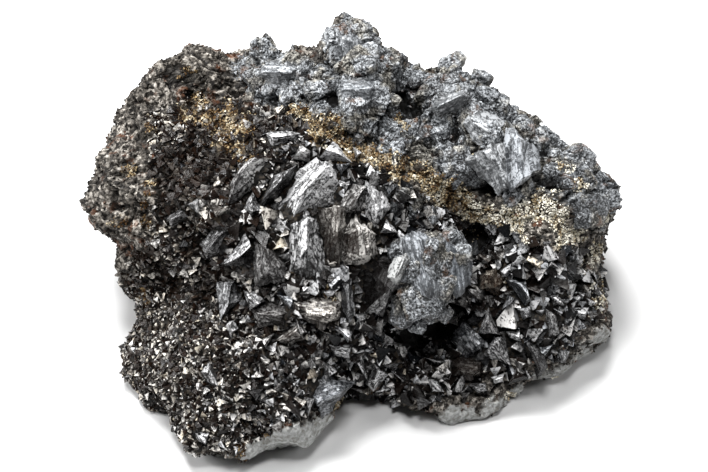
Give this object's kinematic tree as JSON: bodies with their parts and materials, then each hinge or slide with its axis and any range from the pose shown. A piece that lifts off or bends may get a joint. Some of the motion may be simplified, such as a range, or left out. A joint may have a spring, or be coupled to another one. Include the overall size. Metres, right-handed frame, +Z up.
{
  "type": "sphalerite specimen",
  "caption": "Cabinet mineral specimen: a rounded lump of dark galena-bearing rock with a crust of black, flat-faced sphalerite crystals over its front.",
  "frame": {"origin": "on the ground, under the middle of the bounding box", "axes": "+X to the right as the specimen is shown, along its longest side; -Y is the crystal-covered front; +Z up"},
  "size_m": [0.1086, 0.0906, 0.059],
  "materials": {
    "matrix": "rough, granular, faintly metallic blue-grey",
    "sphalerite": "black to dark brown, adamantine lustre on flat faces"
  },
  "bodies": {
    "root": {"matrix": "matrix", "sphalerite_crystals": "sphalerite"}
  },
  "joints": []
}
